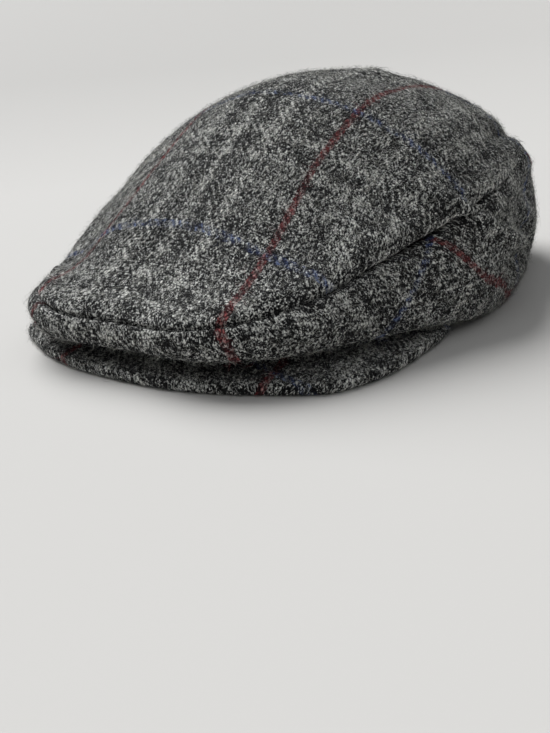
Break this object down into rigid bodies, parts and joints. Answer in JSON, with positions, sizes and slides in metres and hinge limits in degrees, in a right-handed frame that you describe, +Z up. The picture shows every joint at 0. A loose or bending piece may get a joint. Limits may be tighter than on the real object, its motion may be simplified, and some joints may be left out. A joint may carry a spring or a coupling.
{
  "type": "flat cap",
  "caption": "Wool tweed flat cap with a domed top panel, a side panel that turns under to the head opening and a short stiff peak; it rests on its peak and rear hem.",
  "frame": {"origin": "middle of the cap's bounding box in plan, at the surface that it rests on", "axes": "+Z up, +Y from the peak towards the back of the head, +X towards the wearer's left"},
  "size_m": [0.229, 0.2758, 0.1082],
  "materials": {
    "tweed": "matte hairy wool tweed in charcoal and pale grey flecks, with a red and blue windowpane check"
  },
  "bodies": {
    "root": {"top_panel": "tweed", "side_panel": "tweed", "peak": "tweed"}
  },
  "joints": []
}
